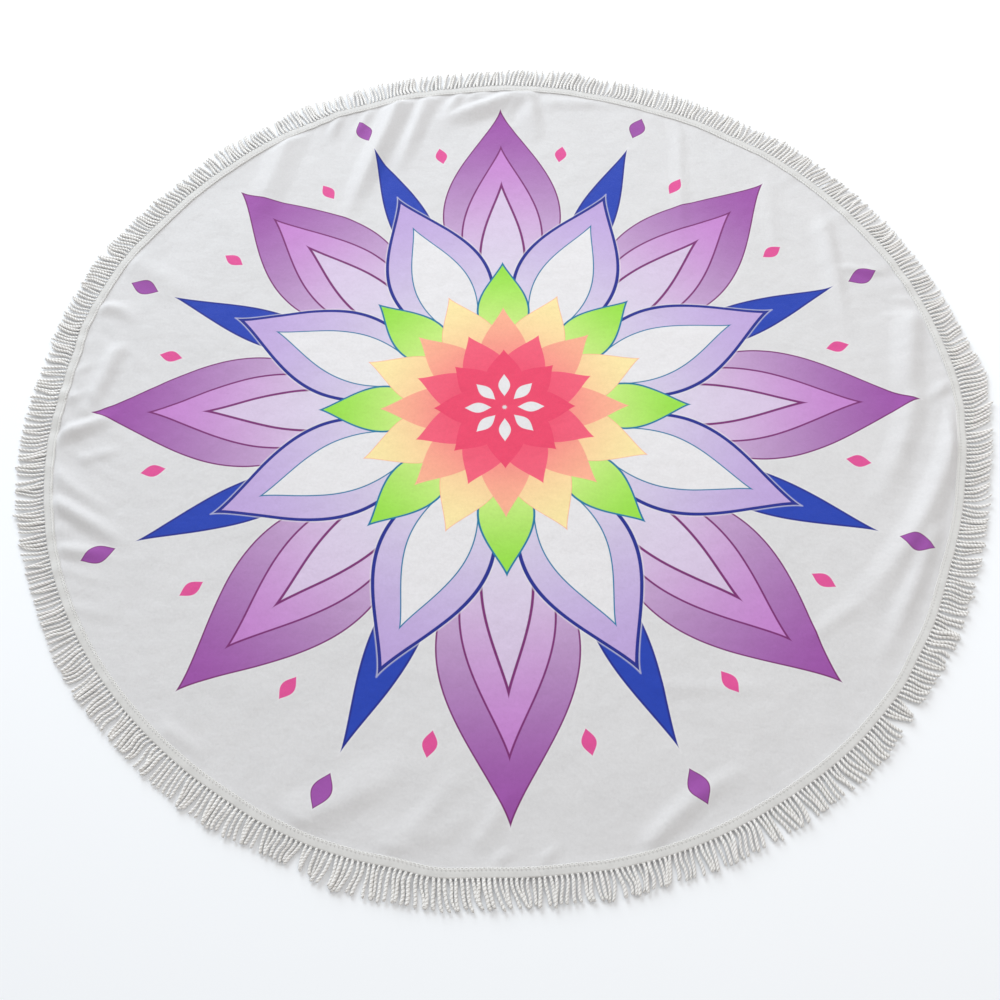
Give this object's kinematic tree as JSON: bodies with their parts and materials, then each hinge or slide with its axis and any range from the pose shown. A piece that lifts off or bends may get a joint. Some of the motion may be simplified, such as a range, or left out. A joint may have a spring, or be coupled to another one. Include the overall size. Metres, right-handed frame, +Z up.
{
  "type": "round beach towel",
  "caption": "Round beach towel lying face up on a floor, with soft folds running in from its edge and a twisted cord fringe on a sewn-on tape.",
  "frame": {"origin": "on the floor under the middle of the towel", "axes": "+Z up out of the printed face, +Y away from the side where the fringe's ends meet, +X to the right of it"},
  "size_m": [1.4949, 1.487, 0.0135],
  "materials": {
    "printed_cloth": "matt white microfibre cloth with a fine weave, printed on its face",
    "cord_fringe": "off-white cotton, a woven tape with twisted cords"
  },
  "bodies": {
    "root": {"cloth": "printed_cloth", "fringe": "cord_fringe"}
  },
  "joints": []
}
